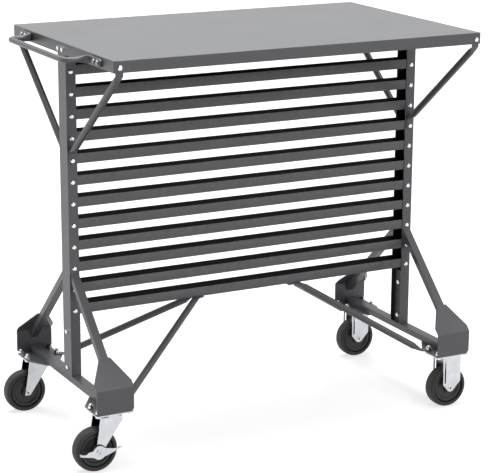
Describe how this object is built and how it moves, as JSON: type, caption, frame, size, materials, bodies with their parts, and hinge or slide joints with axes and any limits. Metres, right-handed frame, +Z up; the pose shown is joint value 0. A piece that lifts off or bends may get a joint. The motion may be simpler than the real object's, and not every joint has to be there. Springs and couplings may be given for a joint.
{
  "type": "mobile bin cart",
  "caption": "Rolling steel work cart: a flat top on end posts joined by a ladder of open rails for hanging bins, on braced feet with swivel and rigid casters.",
  "frame": {"origin": "on the floor, midway between the four wheels", "axes": "+X along the cart, away from the handle; +Y across it, from the bin side to the back; +Z up"},
  "size_m": [1.042, 0.598, 0.938],
  "materials": {
    "grey_powder_coat": "smooth charcoal grey powder coat, satin",
    "zinc_plate": "bright zinc plating",
    "tyre_rubber": "matt black rubber",
    "wheel_core_plastic": "moulded black plastic, low sheen",
    "brake_housing_plastic": "black moulded housing"
  },
  "bodies": {
    "cart": {"back_left_caster_plate": "zinc_plate", "back_left_corner_bracket": "grey_powder_coat", "back_left_cross_brace": "grey_powder_coat", "back_left_kingpin": "zinc_plate", "back_left_leg_brace": "grey_powder_coat", "back_left_top_brace": "grey_powder_coat", "back_right_axle": "zinc_plate", "back_right_corner_bracket": "grey_powder_coat", "back_right_cross_brace": "grey_powder_coat", "back_right_leg_brace": "grey_powder_coat", "back_right_rigid_fork": "zinc_plate", "back_right_top_brace": "grey_powder_coat", "caster_bolts": "zinc_plate", "frame_bolts": "zinc_plate", "front_left_caster_plate": "zinc_plate", "front_left_corner_bracket": "grey_powder_coat", "front_left_cross_brace": "grey_powder_coat", "front_left_kingpin": "zinc_plate", "front_left_leg_brace": "grey_powder_coat", "front_left_top_brace": "grey_powder_coat", "front_right_axle": "zinc_plate", "front_right_corner_bracket": "grey_powder_coat", "front_right_cross_brace": "grey_powder_coat", "front_right_leg_brace": "grey_powder_coat", "front_right_rigid_fork": "zinc_plate", "front_right_top_brace": "grey_powder_coat", "handle": "grey_powder_coat", "left_foot": "grey_powder_coat", "left_post": "grey_powder_coat", "rail_01": "grey_powder_coat", "rail_02": "grey_powder_coat", "rail_03": "grey_powder_coat", "rail_04": "grey_powder_coat", "rail_05": "grey_powder_coat", "rail_06": "grey_powder_coat", "rail_07": "grey_powder_coat", "rail_08": "grey_powder_coat", "rail_09": "grey_powder_coat", "rail_10": "grey_powder_coat", "rail_11": "grey_powder_coat", "rail_12": "grey_powder_coat", "rail_screws": "zinc_plate", "right_foot": "grey_powder_coat", "right_post": "grey_powder_coat", "skirt_bolts": "zinc_plate", "worktop": "grey_powder_coat"},
    "front_left_caster": {"front_left_swivel_fork": "zinc_plate", "front_left_axle": "zinc_plate", "brake_cam": "brake_housing_plastic"},
    "back_left_caster": {"back_left_swivel_fork": "zinc_plate", "back_left_axle": "zinc_plate"},
    "brake_lever_body": {"brake_lever": "zinc_plate"},
    "front_left_wheel": {"front_left_tyre": "tyre_rubber", "front_left_wheel_core": "wheel_core_plastic"},
    "front_right_wheel": {"front_right_tyre": "tyre_rubber", "front_right_wheel_core": "wheel_core_plastic"},
    "back_left_wheel": {"back_left_tyre": "tyre_rubber", "back_left_wheel_core": "wheel_core_plastic"},
    "back_right_wheel": {"back_right_tyre": "tyre_rubber", "back_right_wheel_core": "wheel_core_plastic"}
  },
  "joints": [
    {"name": "front_left_swivel", "type": "hinge", "parent": "cart", "child": "front_left_caster", "pos_m": [-0.4303, -0.218, 0.1272], "axis": [0, 0, 1], "continuous": true},
    {"name": "back_left_swivel", "type": "hinge", "parent": "cart", "child": "back_left_caster", "pos_m": [-0.4303, 0.218, 0.1272], "axis": [0, 0, 1], "continuous": true},
    {"name": "front_left_wheel_spin", "type": "hinge", "parent": "front_left_caster", "child": "front_left_wheel", "pos_m": [-0.4702, -0.218, 0.0508], "axis": [0, 1, 0], "continuous": true},
    {"name": "front_right_wheel_spin", "type": "hinge", "parent": "cart", "child": "front_right_wheel", "pos_m": [0.4702, -0.218, 0.0508], "axis": [0, 1, 0], "continuous": true},
    {"name": "back_left_wheel_spin", "type": "hinge", "parent": "back_left_caster", "child": "back_left_wheel", "pos_m": [-0.4702, 0.218, 0.0508], "axis": [0, 1, 0], "continuous": true},
    {"name": "back_right_wheel_spin", "type": "hinge", "parent": "cart", "child": "back_right_wheel", "pos_m": [0.4702, 0.218, 0.0508], "axis": [0, 1, 0], "continuous": true},
    {"name": "brake_lever_rock", "type": "hinge", "parent": "front_left_caster", "child": "brake_lever_body", "pos_m": [-0.4702, -0.24655, 0.0508], "axis": [0, 1, 0], "range_deg": [0, 25]}
  ]
}
